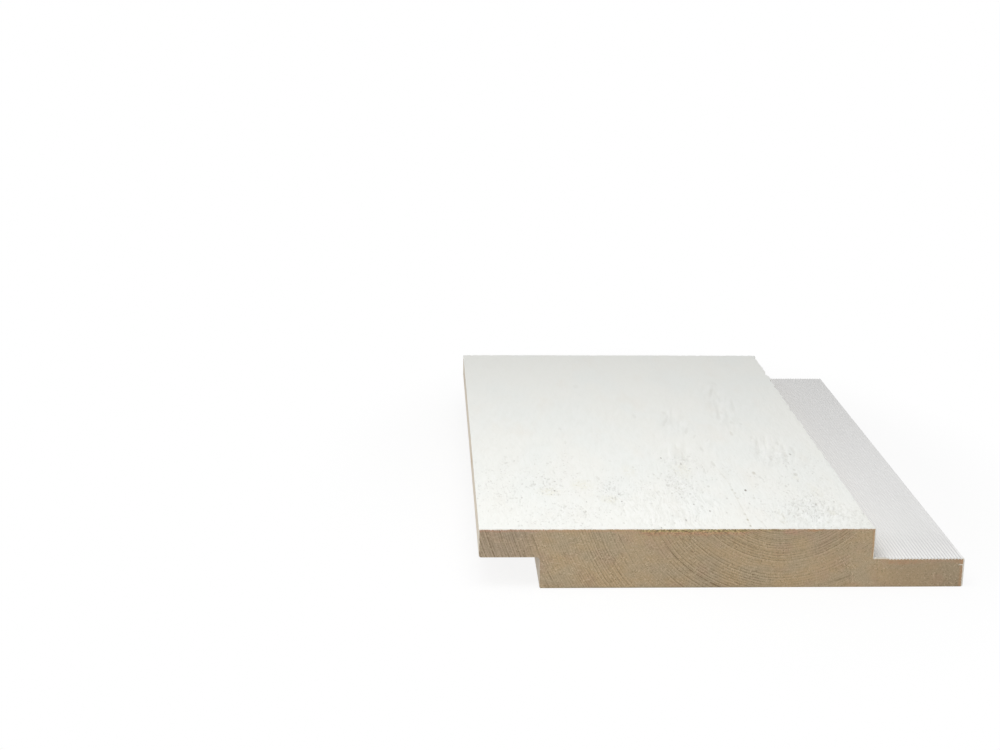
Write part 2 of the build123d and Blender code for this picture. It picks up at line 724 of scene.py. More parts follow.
    hairlines: tuple[Hairline, ...] = (
        Hairline(8.4, 1.7, -98.0, -64.0, -38.0, 0.26),
        Hairline(12.6, 0.8, -60.0, -56.0, -42.0, 0.14),
        Hairline(12.6, 0.0, -98.0, -90.0, -86.0, 0.14),
        Hairline(-10.8, -1.0, -94.0, -84.0, -72.0, 0.14),
    )

    def fibres(self, place: Value) -> tuple[Value, Value]:
        """The wavy furrows between the fibres.

        Args:
            place: The place on the face.

        Returns:
            The furrows, from 0 on a crest to 1, and how strongly they show there.
        """
        sway = place.noise((8, 13, 0), 2.0, 0.5, 30.0)
        x, y, _ = place.split()
        swayed = joined(x + (sway - 0.5) * (4.0 * MM), y)
        waves = swayed.noise((0.72, 5.5, 0), 2.0, 0.6, 31.0)
        anywhere = y.ramp(70 * MM, -60 * MM) * 0.22 + 0.12
        waved = covered(place, self.fibre_places, 1.1, 0.4).most(anywhere)
        return waves.ramp(0.30, 0.70), waved

    def torn(self, place: Value) -> tuple[Value, Value]:
        """The slanting strokes of torn grain.

        Args:
            place: The place on the face.

        Returns:
            The torn strokes, from 0 where they stand up to 1, and how torn the place is.
        """
        torn = covered(place, self.torn_places, 1.1, 0.4)
        patchy = place.noise((4, 7, 0), 1.0, 0.5, 20.0)
        x, y, _ = place.split()
        slanted = joined(x - y * self.tear_lean, y)
        strokes = slanted.noise((0.85, 3.2, 0), 2.0, 0.65, 12.0)
        return strokes.ramp(0.34, 0.66), torn * (patchy.ramp(0.35, 0.62) * 0.6 + 0.4)

    def drawn(self, place: Value) -> tuple[Value, Value]:
        """The longer, softer strokes farther along the board.

        Args:
            place: The place on the face.

        Returns:
            The strokes, from 0 where they stand up to 1, and how strong they are there.
        """
        drawn = covered(place, self.drawn_places, 1.1, 0.3)
        x, y, _ = place.split()
        slanted = joined(x - y * self.stroke_lean, y)
        strokes = slanted.noise((1.7, 12, 0), 1.0, 0.5, 27.0)
        anywhere = y.ramp(-75 * MM, -45 * MM) * y.ramp(80 * MM, 20 * MM) * 0.16
        return strokes.ramp(0.30, 0.68), drawn.most(anywhere)

    def crossed(self, place: Value) -> Value:
        """The fine slanting cuts.

        Args:
            place: The place on the face.

        Returns:
            How strongly they show there, from 0 to 1.
        """
        crossed = covered(place, self.crossed_places, 1.1, 0.6)
        x, y, _ = place.split()
        slanted = joined(x + y * self.cut_lean, y - x * self.cut_lean)
        cuts = slanted.noise((0.62, 1.5, 0), 1.0, 0.6, 23.0)
        return cuts.ramp(0.42, 0.62) * crossed

    def crowding(self, place: Value) -> Value:
        """How closely the pits and pinholes lie.

        Args:
            place: The place on the face.

        Returns:
            How crowded the place is, from 0 to 1.
        """
        _, y, _ = place.split()
        crowded = covered(place, self.crowded_places, 1.2, 0.2)
        anywhere = place.noise((15, 24, 0), 2.0, 0.6, 41.0)
        near = y.ramp(10 * MM, -50 * MM) * 0.85 + 0.15
        return crowded.most(anywhere.ramp(0.40, 0.72) * 0.6) * near

    def pits(self, place: Value, crowd: Value) -> tuple[Value, Value]:
        """Small pits that the primer covers, and the flecks that stand up between them.

        Args:
            place: The place on the face.
            crowd: What crowding gives.

        Returns:
            How deep the place is, and how far it stands up, both from 0 to 1.
        """
        _, y, _ = place.split()
        small = place.noise((0.66, 1.6, 0), 1.0, 0.6, 7.0)
        large = place.noise((1.10, 3.2, 0), 2.0, 0.6, 19.0)
        bar = 0.69 - crowd * 0.10 + y.ramp(-45 * MM, 0.0) * 0.07
        pits = small.ramp(bar, bar + 0.11).most(large.ramp(bar, bar + 0.11))
        low = 1 - bar
        return pits, small.ramp(low, low - 0.11).most(large.ramp(low, low - 0.11))

    def pinholes(self, place: Value, crowd: Value) -> Value:
        """The few pits that the primer doesn't fill, from 0 to 1.

        Args:
            place: The place on the face.
            crowd: What crowding gives.

        Returns:
            How open the place is.
        """
        reach, lot, kind = place.spots((2.3, 4.2, 0), 83.0)
        there = (lot - crowd * 0.16).ramp(0.01, -0.01)
        spot = reach.ramp(kind * 0.10 + 0.12, 0.03) * there
        rim = place.noise((0.6, 0.9, 0), 2.0, 0.6, 58.0)
        open_spots = spot * (kind * kind * 0.14 + 0.06)
        return open_spots.most(ragged(place, self.holes, rim))

    def dimpled(self, place: Value) -> Value:
        """The soft dimples, from 0 to 1."""
        rim = place.noise((1.2, 3, 0), 2.0, 0.6, 59.0)
        return ragged(place, self.dimples, rim)

    def pocked(self, place: Value) -> Value:
        """The single pocks.

        Args:
            place: The place on the face.

        Returns:
            How deep the place lies in one of them, from 0 to 1.
        """
        rim = place.noise((0.7, 1.2, 0), 2.0, 0.6, 62.0)
        pocks = marks(*((x, y, *self.pock_size, strength) for x, y, strength in self.pocks))
        return ragged(place, pocks, rim)

    def resinous(self, place: Value) -> Value:
        """The spots of resin, from 0 to 1."""
        rim = place.noise((0.8, 1.6, 0), 2.0, 0.6, 60.0)
        return ragged(place, self.resin, rim)

    def open_lines(self, place: Value) -> Value:
        """The hairlines, from 0 to 1."""
        return strongest(line.trace(place) for line in self.hairlines)

    def yellowing(self, place: Value) -> Value:
        """Where the primer is thin and yellowish, from 0 to 1."""
        mottle = place.noise((1, 1.8, 0), 2.0, 0.6, 70.0)
        return covered(place, self.yellow_places, 1.2, 0.2) * mottle.ramp(0.32, 0.62)

    def depth(self, place: Value) -> Value:
        """The relief of the whole sawn face.

        Args:
            place: The place on the face.

        Returns:
            How far the face lies under its highest fibres, in metres.
        """
        crowd = self.crowding(place)
        (waves, waved), (strokes, torn) = self.fibres(place), self.torn(place)
        long_strokes, drawn = self.drawn(place)
        furrows = waves * waved * self.fibre_depth + strokes * torn * self.tear_depth
        furrows = furrows + long_strokes * drawn * self.stroke_depth
        pits = self.pits(place, crowd)[0] * self.pit_depth
        dimples = (self.dimpled(place) + self.pocked(place)) * self.dimple_depth
        mottle = self.yellowing(place) * self.mottle_depth
        return furrows + pits + dimples + mottle


class Finish:
    """A material that is painted by its place on the board."""

    name = "finish"

    def paint(self, place: Value) -> dict[str, Any]:
        """The Principled shader's inputs, for one finish.

        Args:
            place: The place on the board, in metres.

        Returns:
            The shader's sockets by name.
        """
        raise NotImplementedError

    def material(self) -> bpy.types.Material:
        """Makes the material.

        Returns:
            The material, with the one shader that paint describes.
        """
        made = bpy.data.materials.new(self.name)
        made.use_nodes = True
        graph = Graph(made.node_tree)
        place = graph.value("ShaderNodeTexCoord", None, None, "Object")
        shader = graph.node("ShaderNodeBsdfPrincipled", None, self.paint(place))
        graph.node("ShaderNodeOutputMaterial", None, {"Surface": shader.outputs[0]})
        return made


@dataclass(frozen=True)
class SawnPrimer(Finish):
    """White primer over the fine-sawn face.

    Args:
        white: The primer where it lies thick.
        cool: The primer where it lies thickest.
        warm: The primer where the wood shows through a little.
        bright: Painted highlight on the highest fibres and on the flecks that stand up.
        yellow: The thin primer round a resin spot.
        dull: Painted shade in the furrows, the torn grain and the crossing cuts.
        shade: Painted shade in pits, dimples and pocks.
        hole: The bare wood in a pinhole, darkened further with painted shade.
        olive: The stained wood in a hairline or a resin spot.
    """

    name = "sawn_primer"
    white: Colour = (0.890, 0.894, 0.853)
    cool: Colour = (0.873, 0.889, 0.858)
    warm: Colour = (0.868, 0.845, 0.785)
    bright: Colour = (0.955, 0.955, 0.935)
    yellow: Colour = (0.80, 0.77, 0.62)
    dull: Colour = (0.56, 0.55, 0.50)
    shade: Colour = (0.44, 0.42, 0.36)
    hole: Colour = (0.12, 0.09, 0.06)
    olive: Colour = (0.27, 0.22, 0.09)

    def paint(self, place: Value) -> dict[str, Any]:
        """See Finish.paint."""
        face = SawnFace()
        crowd = face.crowding(place)
        (waves, waved), (strokes, torn) = face.fibres(place), face.torn(place)
        (pits, risen), pinholes = face.pits(place, crowd), face.pinholes(place, crowd)
        long_strokes, drawn = face.drawn(place)
        dimples, resin = face.dimpled(place), face.resinous(place)
        pocks = face.pocked(place)
        lines, crossed = face.open_lines(place), face.crossed(place)
        yellowing = face.yellowing(place)
        # The primer's own colour, in broad patches
        patches = place.noise((18, 42, 0), 2.0, 0.5, 52.0)
        drift = place.noise((9, 30, 0), 2.0, 0.5, 55.0)
        colour = mixed(patches.ramp(0.40, 0.65) * 0.8, self.white, self.cool)
        colour = mixed(drift.ramp(0.52, 0.78) * 0.38, colour, self.warm)
        colour = mixed(yellowing * 0.40, colour, self.yellow)
        # Painted shade darkens the furrows and cuts, and a painted highlight lightens the crests
        # and the raised flecks
        tone = (waves - 0.5) * waved * 1.25 + (strokes - 0.42) * torn * 1.8 + crossed * 0.7
        tone = tone + (long_strokes - 0.5) * drawn * 0.9
        colour = mixed(tone.most(0.0) * 0.27, colour, self.dull)
        colour = mixed((-tone).most(0.0) * 0.80 + risen * 0.52, colour, self.bright)
        # Painted shade in pits, dimples and pocks, then resin, then open holes of bare wood with
        # painted shade, each over the one before
        colour = mixed(pits * 0.25 + dimples * 0.36 + pocks * 0.42, colour, self.shade)
        colour = mixed(lines * 0.5 + resin * 0.75, colour, self.olive)
        colour = mixed(pinholes * 0.9, colour, self.hole)
        hair = place.noise((0.30, 2.4, 0), 2.0, 0.6, 61.0)
        height = hair * 0.10 + risen * 0.3 - tone * 0.28 - pits * 0.6 - pinholes * 0.6 - lines * 0.3
        return {
            "Base Color": colour,
            "Roughness": 0.62 + (hair - 0.5) * 0.12,
            "Normal": height.bump(0.30 * MM, 0.8),
            "Specular IOR Level": 0.3,
        }


@dataclass(frozen=True)
class RibbedPrimer(Finish):
    """The thinner, smoother primer on the ribbed lip.

    Args:
        section: The board's section, for the ribs' height.
        white: The primer on the ribs.
        bright: Painted light on the ribs near the cut end.
        groove: Painted shade between the ribs near the cut end.
        painted_groove_light: Painted light between the ribs farther along, which cancels the
            grooves' shading.
        dull: The primer where it lies thin.
    """

    section: Section
    name = "ribbed_primer"
    white: Colour = (0.862, 0.859, 0.852)
    bright: Colour = (0.925, 0.922, 0.912)
    groove: Colour = (0.65, 0.64, 0.64)
    painted_groove_light: Colour = (0.965, 0.962, 0.955)
    dull: Colour = (0.80, 0.795, 0.785)

    def paint(self, place: Value) -> dict[str, Any]:
        """See Finish.paint."""
        x, y, z = place.split()
        s = self.section
        patches = place.noise((9, 60, 0), 2.0, 0.5, 71.0)
        # Painted shade darkens the grooves near the cut end, less beside the step, and painted
        # light lightens them farther along to cancel their shading
        low = z.ramp(s.lip_top - s.rib_depth * 0.3, s.lip_top - s.rib_depth * 0.9)
        colour = mixed(patches.ramp(0.35, 0.75) * 0.3, self.white, self.dull)
        # Painted light on the ribs near the cut end
        colour = mixed(y.ramp(-82 * MM, -99 * MM), colour, self.bright)
        plain = x.ramp(s.step, s.step + 12 * MM) * 0.45 + 0.45
        colour = mixed(low * y.ramp(-72 * MM, -94 * MM) * plain, colour, self.groove)
        return {
            "Base Color": mixed(low * y.ramp(-84 * MM, -60 * MM) * 0.42, colour, self.painted_groove_light),
            "Roughness": 0.62 + (patches - 0.5) * 0.1,
            "Specular IOR Level": 0.15,
        }


@dataclass(frozen=True)
class EdgePrimer(Finish):
    """Thin primer on the planed walls and under the tongue, with the wood showing.

    Args:
        section: The board's section.
        white: The primer.
        wood: The wood that shows through.
        resin: The resin on the tongue's edge.
        spot: Where it is, by its height and along the board.
    """

    section: Section
    name = "edge_primer"
    white: Colour = (0.745, 0.662, 0.542)
    wood: Colour = (0.62, 0.50, 0.36)
    resin: Colour = (0.46, 0.24, 0.08)
    spot: Mark = Mark(15, -24, 6.8, 11, 0.6)

    def paint(self, place: Value) -> dict[str, Any]:
        """See Finish.paint."""
        grain = place.noise((1, 34, 1), 3.0, 0.6, 81.0)
        patches = place.noise((12, 35, 12), 2.0, 0.5, 84.0)
        share = grain.ramp(0.45, 0.8) * 0.30 + patches.ramp(0.5, 0.8) * 0.25
        colour = mixed(share, self.white, self.wood)
        x, y, z = place.split()
        reach = self.spot.reach(joined(z, y)) + (grain - 0.5) * 0.8
        outside = x.ramp(self.section.low.x + 1.2 * MM, self.section.low.x + 0.6 * MM)
        spotted = reach.ramp(1.0, 0.3) * outside * self.spot.strength
        colour = mixed(spotted, colour, self.resin)
        return {
            "Base Color": colour,
            "Roughness": 0.6 + (grain - 0.5) * 0.15,
            "Normal": grain.bump(0.05 * MM, 0.6),
            "Specular IOR Level": 0.3,
        }


@dataclass(frozen=True)
class BareSoftwood(Finish):
    """Bare softwood on the cut ends and the back.

    Args:
        section: The board's section, for what lies along its edges.
        pale: The early part of a ring.
        grey: The wood where it has dulled.
        tongue: The greyer wood of the tongue.
        brown: The darker wood of the lip.
        rosy: The wood where it is pinkish.
        dark: The line that closes a ring.
        fleck: The pale rays.
        orange: The wood under the primed face, which has drawn in some colour.
        red: The same, where it is reddish.
        ochre: The same, where it is yellow.
        moss: The same, where it is olive.
        spark: The small bright specks in it.
        contact_shadow: Painted contact shadow along the bottom edge of a cut end.
        paint_edge_and_highlight: The primer coat's edge at a cut end, paler than the primer with a
            painted highlight.
        coat: How thick the primer is at a cut end.
        bead_height: How high the bead stands over the ribs.
        crack: A dark, broken place near the back, by its place across and its height.
        splinter_drop: How far under the ribs a pale splinter stands on the lip's edge.
        quiet: How plainly the ring lines show outside the bands.
        busy_bands: Middle, half width, edge and strength of the bands across the board in
            which the ring lines stand out, in millimetres.
    """

    section: Section
    name = "bare_softwood"
    pale: Colour = (0.615, 0.460, 0.278)
    grey: Colour = (0.530, 0.450, 0.322)
    tongue: Colour = (0.500, 0.395, 0.305)
    brown: Colour = (0.420, 0.318, 0.212)
    rosy: Colour = (0.575, 0.400, 0.275)
    dark: Colour = (0.190, 0.132, 0.064)
    fleck: Colour = (0.76, 0.63, 0.43)
    orange: Colour = (0.64, 0.33, 0.16)
    red: Colour = (0.62, 0.365, 0.265)
    ochre: Colour = (0.64, 0.49, 0.22)
    moss: Colour = (0.30, 0.25, 0.11)
    spark: Colour = (0.90, 0.74, 0.40)
    contact_shadow: Colour = (0.30, 0.27, 0.175)
    paint_edge_and_highlight: Colour = (0.97, 0.93, 0.82)
    coat: float = 0.24 * MM
    bead_height: float = 0.36 * MM
    crack: Mark = Mark(36.5, 2.7, 2.4, 3.0, 0.3, 3.0)
    splinter_drop: float = 2.1 * MM
    quiet: float = 0.16
    busy_bands: tuple[tuple[float, float, float, float], ...] = (
        (-66, 9.5, 5, 0.74), (-53.5, 2, 2, 0.20), (-50, 5, 6, 0.36), (-37, 8, 6, 0.56),
        (-24, 4.5, 4, 0.24), (-2, 16.5, 9, 0.72), (20.5, 6, 6, 0.46),
    )

    def beaded(self, x: Value) -> Value:
        """Where a bead of primer covers the ribs at a cut end, from 0 to 1."""
        return x.band(self.section.step + 2.2 * MM, 2.2 * MM, 2.0 * MM)

    def top_of(self, x: Value) -> Value:
        """The height of the primed surface above each place.

        Args:
            x: The place across the board.

        Returns:
            The face's height, or over the lip the height of its ribs.
        """
        s = self.section
        phase = (x - (s.step + s.high.x) / 2) / s.rib_pitch + 0.5
        groove = (phase.fraction() - 0.5).size()
        half = (s.rib_pitch - s.rib_crest) / 2 / s.rib_pitch
        rib = s.lip_top - (1 - groove / half).most(0.0) * s.rib_depth
        rib = rib + (s.lip_top + self.bead_height - rib) * self.beaded(x)
        on_lip = x.ramp(s.step - 0.01 * MM, s.step + 0.01 * MM)
        return s.high.z + (rib - s.high.z) * on_lip

    def edge_paint(self, x: Value, z: Value, under: Value) -> Value:
        """The primer coat's edge round a cut end, from 0 to 1.

        Args:
            x: The place across the board.
            z: The height.
            under: The depth under the primed surface.

        Returns:
            How much of the place is primer.
        """
        s, coat = self.section, self.coat
        # The coat lies along the step's wall, the board's edges and the face
        spot = joined(x, 0.0, z)
        uneven = spot.noise((1.1, 0, 1.1), 2.0, 0.6, 99.0)
        reach = uneven * (1.1 * coat) + 0.45 * coat
        on_lip = x.ramp(s.step - 0.1 * MM, s.step + 0.1 * MM)
        step_wall = (x - s.step).size() + (s.lip_top - z).most(0.0)
        teeth = spot.noise((0.42, 1000, 1000), 2.0, 0.7, 98.0)
        bead = self.beaded(x) * (self.bead_height - 0.06 * MM)
        top = under - bead - (teeth - 0.48) * (0.7 * MM) * (1 - on_lip)
        edges = (s.high.x - x - 0.22 * MM).least(x - s.low.x + 0.06 * MM)
        coated = (step_wall.least(edges).least(top) - reach).ramp(0.03 * MM, -0.06 * MM)
        # A pale splinter lies level in the lip's edge
        level = (z - (s.lip_top - self.splinter_drop) + (x - s.high.x) * 0.04).size()
        near_edge = x.ramp(s.high.x - 2.2 * MM, s.high.x - 0.9 * MM)
        splinter = level.ramp(0.20 * MM, 0.08 * MM) * near_edge
        return coated.most(splinter * 0.9)

    def soaked(self, colour: Value, x: Value, z: Value, under: Value, line: Value) -> Value:
        """Adds the stain that the primer's edge has drawn into a cut end.

        Args:
            colour: The wood's colour.
            x: The place across the board.
            z: The height.
            under: The depth under the primed surface.
            line: How dark the ring lines are there.

        Returns:
            The stained colour.
        """
        s = self.section
        along = joined(x, under)
        deep = along.noise((1.2, 9, 0), 3.0, 0.65, 103.0)
        blotch = along.noise((0.50, 0.40, 0), 2.0, 0.65, 106.0)
        kind = along.noise((1.1, 0.6, 0), 2.0, 0.65, 108.0)
        fine = along.noise((0.52, 0.42, 0), 1.0, 0.6, 109.0)
        # Where across the board the stain is strong, and of which kind
        hot = x.band(-9 * MM, 17 * MM, 6 * MM)
        rosy, glow = x.band(20 * MM, 2.5 * MM, 3 * MM), x.band(27.5 * MM, 2.5 * MM, 4 * MM)
        mossy = x.band(11.5 * MM, 6 * MM, 3 * MM) * 0.85
        lip = x.band(s.step + 9 * MM, 6 * MM, 6 * MM).most(x.ramp(s.high.x - 8 * MM, s.high.x))
        left = x.ramp(-20 * MM, -32 * MM)
        most_soaked = [hot * 0.95, rosy * 0.62, glow * 0.64, mossy * 0.6, lip * 0.5, left * 0.72]
        much = strongest(most_soaked)
        # How deep it goes, and its thin skin just under the primer
        reach = (deep * 1.5 + hot * 1.15 + rosy * 1.1 + lip * 0.9 + 0.2) * MM
        tint = (under / reach).ramp(1.25, 0.60) * much.most(0.3)
        shallow = (under / (reach * 0.55)).ramp(1.2, 0.7)
        skin = under.ramp(1.10 * MM, 0.60 * MM)
        # Its colours
        yellow = kind.ramp(0.38, 0.52) * hot.most(mossy) + x.ramp(-70 * MM, -34 * MM) * left * 0.4
        glowing = glow.most(kind.ramp(0.56, 0.46) * hot * 0.5).most(lip * 0.6)
        stain = mixed(glowing, self.red, self.orange)
        stain = mixed((yellow * (skin.most(shallow) * 0.9 + 0.1)).least(1.0), stain, self.ochre)
        mossed = blotch.ramp(0.44, 0.54) * hot.most(mossy) * (skin * 0.85 + 0.10)
        stain = mixed(mossed, stain, self.moss)
        # It lies over the wood in patches
        patchy = blotch.ramp(0.30, 0.60)
        stained = mixed(tint * (1 - (1 - patchy) * (lip * 0.4 + 0.35)), colour, stain)
        stained = mixed(line * tint * 0.6, stained, self.dark)
        # Dark and bright specks in it
        speckled = hot.most(mossy * 0.8).most(rosy * 0.5) * 0.85 + 0.15
        specks = fine.ramp(0.43, 0.35).most(blotch.ramp(0.38, 0.30)) * tint * speckled
        sparks = fine.ramp(0.55, 0.62) * tint * speckled * (skin * 0.5 + 0.5)
        stained = mixed(sparks * 0.72, stained, self.spark)
        # The wood beside the step's wall and the lip's edge
        wall = (x - s.step).size().ramp(1.1 * MM, 0.2 * MM) * z.ramp(s.lip_top, s.lip_top + 1 * MM)
        right = (s.high.x - x).ramp(1.8 * MM, 0.3 * MM)
        edges = wall.most(right) * (blotch.ramp(0.30, 0.60) * 0.30 + 0.25)
        stained = mixed(edges, stained, self.orange)
        return mixed(specks * 0.66, stained, self.dark)

    def busy(self, x: Value, z: Value) -> Value:
        """How plainly the ring lines show, from 0 to 1.

        Args:
            x: The place across the board.
            z: The height.

        Returns:
            The share of a line's full strength.
        """
        bands = (
            x.band(middle * MM, half * MM, edge * MM) * strength
            for middle, half, edge, strength in self.busy_bands
        )
        share = sum(bands, self.quiet)
        upper = x.band(33.5 * MM, 5.5 * MM, 5 * MM) * (z.ramp(5 * MM, 12 * MM) * 0.50 + 0.20)
        lower = x.band(3 * MM, 9 * MM, 6 * MM) * z.ramp(8 * MM, 4 * MM) * 0.28
        crown = x.band(13 * MM, 8 * MM, 5 * MM) * z.ramp(12 * MM, 15 * MM) * 0.30
        return share + upper + lower + crown

    def paint(self, place: Value) -> dict[str, Any]:
        """See Finish.paint."""
        s, rings = self.section, GrowthRings()
        x, y, z = place.split()
        radius, bearing = rings.polar(place)
        late, pale = rings.latewood(radius)
        under = self.top_of(x) - z
        at_end = y.size().ramp(s.high.y - 0.4 * MM, s.high.y - 0.1 * MM)

        # Patterns along the grain and across the whole board
        grained = joined(bearing * rings.grain_radius, y, radius)
        strands = grained.noise((2.2, 30, 0.20), 2.0, 0.6, 91.0)
        rays = grained.noise((0.30, 5, 0.7), 2.0, 0.65, 92.0)
        pores = place.noise((0.36, 6, 0.30), 2.0, 0.65, 93.0)
        patches = place.noise((13, 70, 7), 2.0, 0.5, 95.0)
        broken = grained.noise((1.8, 14, 1), 2.0, 0.6, 97.0)

        # The wood's colour, which changes from the tongue to the lip
        colour = mixed(patches.ramp(0.38, 0.64) * 0.55, self.pale, self.grey)
        colour = mixed(x.ramp(-50 * MM, -62 * MM) * 0.6, colour, self.tongue)
        colour = mixed(x.ramp(45 * MM, 57 * MM) * 0.42, colour, self.brown)
        colour = mixed(x.band(-12 * MM, 13 * MM, 10 * MM) * 0.16, colour, self.brown)
        busy = self.busy(x, z)
        rosy = place.noise((6, 60, 5), 1.0, 0.5, 96.0)
        colour = mixed(rosy.ramp(0.50, 0.72) * 0.5, colour, self.rosy)
        # The rings' lines
        colour = mixed(strands.ramp(0.45, 0.75) * busy * 0.36, colour, self.dark)
        line = late * (broken.ramp(0.26, 0.60) * 0.7 + 0.3) * busy
        colour = mixed(line * 0.85, colour, self.dark)
        colour = mixed(pale * busy * 0.40, colour, self.fleck)
        # Pores and rays, stronger where the cut is rough
        corner = x.ramp(61 * MM, 71 * MM) * z.ramp(5 * MM, 2 * MM)
        colour = mixed(corner * 0.28, colour, self.brown)
        rough = place.noise((7, 60, 3.4), 1.0, 0.5, 101.0)
        rough = rough.ramp(0.50, 0.64).most(corner)
        colour = mixed(pores.ramp(0.52, 0.74) * (rough * 0.34 + 0.50), colour, self.dark)
        inner = x.ramp(-62 * MM, -52 * MM) * x.ramp(56 * MM, 44 * MM)
        flecks = rays.ramp(0.52, 0.72) * (inner * 0.20 + rough * 0.30 + 0.44)
        colour = mixed(flecks, colour, self.fleck)
        # What only a cut end has: the stain, a painted contact shadow along the bottom, a crack and
        # the primer's edge with a painted highlight
        soaked = self.soaked(colour, x, z, under, line)
        # Painted contact shadow along the bottom edge, stronger towards the left
        contact_shaded = (z - s.low.z).ramp(0.50 * MM, 0.10 * MM) * (x.ramp(30 * MM, 5 * MM) * 0.30 + 0.15)
        soaked = mixed(contact_shaded, soaked, self.contact_shadow)
        cracked = self.crack.reach(joined(x, z)) + (rays - 0.5) * 1.6
        soaked = mixed(cracked.ramp(1.0, 0.5) * self.crack.strength, soaked, self.dark)
        colour = mixed(at_end, colour, soaked)
        paint = self.edge_paint(x, z, under) * at_end
        # The primer's edge, painted paler than the primer as a painted highlight on its bead
        colour = mixed(paint * 0.95, colour, self.paint_edge_and_highlight)
        # The face's arris is worn round, and the primer stands proud at the walls
        step_wall = (x - s.step).size() + (s.lip_top - z).most(0.0)
        rounded = (1 - under / (0.4 * MM)).most(0.0)
        proud = (1 - step_wall.least((s.high.x - x).size()) / (0.35 * MM)).most(0.0)
        height = rays * 0.3 - line * 0.5 - pores * 0.5 - strands * busy * 0.3
        height = height + (proud * proud - rounded * rounded) * at_end * 2.5
        return {
            "Base Color": colour,
            "Roughness": 0.76 + (pores - 0.5) * 0.1,
            "Normal": height.bump(0.10 * MM, 0.8),
            "Specular IOR Level": 0.2,
        }


class Bench:
    """The few hand moves of mesh work that every step of the board uses."""

    @staticmethod
    def take(piece: bpy.types.Object) -> None:
        """Makes a piece the only selected object, and the active one.

        Args:
            piece: The piece.
        """
        bpy.ops.object.select_all(action="DESELECT")
        piece.select_set(True)
        bpy.context.view_layer.objects.active = piece

    @staticmethod
    def drop_all(mesh: bpy.types.Mesh) -> None:
        """Deselects all of a mesh, in object mode."""
        for part in (mesh.vertices, mesh.edges, mesh.polygons):
            part.foreach_set("select", [False] * len(part))

    @staticmethod
    def pick_faces(
        piece: bpy.types.Object, wanted: Callable[[bpy.types.MeshPolygon], bool]
    ) -> None:
        """Selects the faces that pass a test, and nothing else.

        Args:
            piece: The piece.
            wanted: The test, on a face.
        """
        Bench.drop_all(piece.data)
        for face in piece.data.polygons:
            face.select = wanted(face)

    @staticmethod
    def cut_edges(
        piece: bpy.types.Object, wanted: Callable[[Vector, Vector], bool], parts: tuple
    ) -> None:
        """Divides the edges that pass a test into equal parts.

        Args:
            piece: The piece.
            wanted: The test, on the places of an edge's two ends.
            parts: How many parts each edge is cut into, then each of those parts, and so
                on.
        """
        mesh = piece.data
        for count in parts:
            Bench.drop_all(mesh)
            for edge in mesh.edges:
                ends = [mesh.vertices[i] for i in edge.vertices]
                if wanted(ends[0].co, ends[1].co):
                    edge.select = ends[0].select = ends[1].select = True
            bpy.ops.object.mode_set(mode="EDIT")
            bpy.ops.mesh.select_mode(type="EDGE")
            bpy.ops.mesh.subdivide(number_cuts=count - 1)
            bpy.ops.object.mode_set(mode="OBJECT")


@dataclass(frozen=True)
class MapPatch:
    """A patch of the flat map that the board's colours are laid out on.

    Args:
        across: Which of the board's axes runs to the right on the map.
        start: Where that axis starts, in metres.
        density: Pixels to the millimetre that way.
        left: The patch's left edge on the map, in pixels.
        upright: Which axis runs up on the map.
        up_start: Where it starts.
        up_density: Pixels to the millimetre that way.
        bottom: The patch's bottom edge on the map, in pixels.
        pixels: The map's own width and height in pixels.
    """

    across: int
    start: float
    density: float
    left: float
    upright: int = 1
    up_start: float = -100.0 * MM
    up_density: float = 3.88
    bottom: float = 4.0
    pixels: float = 1024.0

    def spot(self, place: Vector) -> tuple[float, float]:
        """Where a place of the board lies on the map.

        Args:
            place: The place on the board.

        Returns:
            Its place on the map, from 0 to 1 across and up.
        """
        right = self.left + (place[self.across] - self.start) / MM * self.density
        up = self.bottom + (place[self.upright] - self.up_start) / MM * self.up_density
        return right / self.pixels, up / self.pixels


